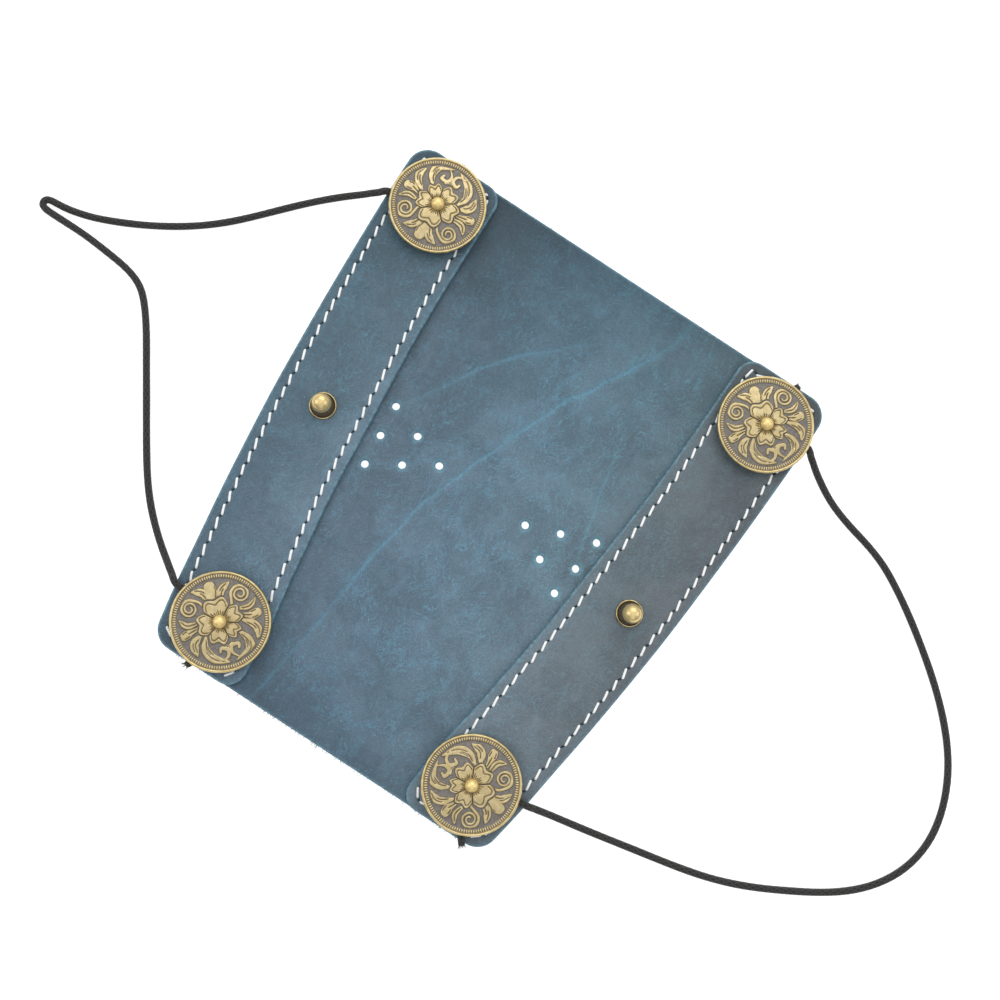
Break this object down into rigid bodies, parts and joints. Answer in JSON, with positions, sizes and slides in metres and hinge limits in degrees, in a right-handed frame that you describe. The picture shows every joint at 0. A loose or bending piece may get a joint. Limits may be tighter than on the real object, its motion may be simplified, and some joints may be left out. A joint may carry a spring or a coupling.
{
  "type": "archery arm guard",
  "caption": "Leather forearm guard with two sewn side bands, screw-back rosettes and button studs; elastic cord loops hook over the studs to close it round the arm.",
  "frame": {"origin": "centre of the leather panel's underside (flesh side)", "axes": "+X across the forearm, +Y from the wrist end to the elbow end, +Z out of the grain side"},
  "size_m": [0.391, 0.2028, 0.0154],
  "materials": {
    "panel_leather": "waxed pull-up leather, semi-matt",
    "band_leather": "waxed pull-up leather, semi-matt",
    "thread": "waxed thread",
    "concho_brass": "antique brass plated casting, dark recesses",
    "stud_brass": "antique brass, polished",
    "screw_brass": "brass plated",
    "cord_cover": "fine woven cover",
    "cord_rubber": "natural rubber strands"
  },
  "bodies": {
    "panel": {"panel_center": "panel_leather"},
    "left_inner": {"panel_left_inner": "panel_leather"},
    "left_flank": {"panel_left_flank": "panel_leather", "left_band": "band_leather", "left_band_thread": "thread", "left_cord_elbow_end": "cord_cover", "left_cord_elbow_end_core": "cord_rubber", "left_cord_wrist_end": "cord_cover", "left_cord_wrist_end_core": "cord_rubber"},
    "left_elbow_concho_set": {"left_elbow_concho": "concho_brass", "left_elbow_concho_screw": "screw_brass"},
    "left_wrist_concho_set": {"left_wrist_concho": "concho_brass", "left_wrist_concho_screw": "screw_brass"},
    "left_cord": {"left_cord_loop": "cord_cover", "left_cord_loop_core": "cord_rubber"},
    "left_stud_set": {"left_stud": "stud_brass", "left_stud_screw": "screw_brass"},
    "right_inner": {"panel_right_inner": "panel_leather"},
    "right_flank": {"panel_right_flank": "panel_leather", "right_band": "band_leather", "right_band_thread": "thread", "right_cord_elbow_end": "cord_cover", "right_cord_elbow_end_core": "cord_rubber", "right_cord_wrist_end": "cord_cover", "right_cord_wrist_end_core": "cord_rubber"},
    "right_elbow_concho_set": {"right_elbow_concho": "concho_brass", "right_elbow_concho_screw": "screw_brass"},
    "right_wrist_concho_set": {"right_wrist_concho": "concho_brass", "right_wrist_concho_screw": "screw_brass"},
    "right_cord": {"right_cord_loop": "cord_cover", "right_cord_loop_core": "cord_rubber"},
    "right_stud_set": {"right_stud": "stud_brass", "right_stud_screw": "screw_brass"}
  },
  "joints": [
    {"name": "wrap_left_inner", "type": "hinge", "parent": "panel", "child": "left_inner", "pos_m": [-0.01525, 0, 0], "axis": [0.0275, -0.9996, 0], "range_deg": [0, 48]},
    {"name": "wrap_right_inner", "type": "hinge", "parent": "panel", "child": "right_inner", "pos_m": [0.01525, 0, 0], "axis": [0.0275, 0.9996, 0], "range_deg": [0, 48]},
    {"name": "wrap_left_outer", "type": "hinge", "parent": "left_inner", "child": "left_flank", "pos_m": [-0.0378, 0, 0], "axis": [0.0847, -0.9964, 0], "range_deg": [0, 48]},
    {"name": "wrap_right_outer", "type": "hinge", "parent": "right_inner", "child": "right_flank", "pos_m": [0.0378, 0, 0], "axis": [0.0847, 0.9964, 0], "range_deg": [0, 48]},
    {"name": "left_loop_swing", "type": "hinge", "parent": "left_flank", "child": "left_cord", "pos_m": [-0.0836, -0.0013, 0.0046], "axis": [-0.1047, 0.9945, 0], "range_deg": [-84, 90]},
    {"name": "right_loop_swing", "type": "hinge", "parent": "right_flank", "child": "right_cord", "pos_m": [0.0844, 0.0018, 0.0046], "axis": [-0.1036, -0.9946, 0], "range_deg": [-84, 90]},
    {"name": "left_elbow_concho_turn", "type": "hinge", "parent": "left_flank", "child": "left_elbow_concho_set", "pos_m": [-0.0698, 0.0823, 0.0048], "axis": [0, 0, 1], "continuous": true},
    {"name": "right_elbow_concho_turn", "type": "hinge", "parent": "right_flank", "child": "right_elbow_concho_set", "pos_m": [0.071, 0.081, 0.0048], "axis": [0, 0, 1], "continuous": true},
    {"name": "left_wrist_concho_turn", "type": "hinge", "parent": "left_flank", "child": "left_wrist_concho_set", "pos_m": [-0.051, -0.082, 0.0048], "axis": [0, 0, 1], "continuous": true},
    {"name": "right_wrist_concho_turn", "type": "hinge", "parent": "right_flank", "child": "right_wrist_concho_set", "pos_m": [0.052, -0.0816, 0.0048], "axis": [0, 0, 1], "continuous": true},
    {"name": "left_stud_turn", "type": "hinge", "parent": "left_flank", "child": "left_stud_set", "pos_m": [-0.0641, 0, 0.0048], "axis": [0, 0, 1], "continuous": true},
    {"name": "right_stud_turn", "type": "hinge", "parent": "right_flank", "child": "right_stud_set", "pos_m": [0.0666, -0.002, 0.0048], "axis": [0, 0, 1], "continuous": true}
  ],
  "couplings": [
    {"joint": "wrap_right_inner", "follows": "wrap_left_inner", "ratio": 1},
    {"joint": "wrap_left_outer", "follows": "wrap_left_inner", "ratio": 1},
    {"joint": "wrap_right_outer", "follows": "wrap_left_inner", "ratio": 1}
  ]
}
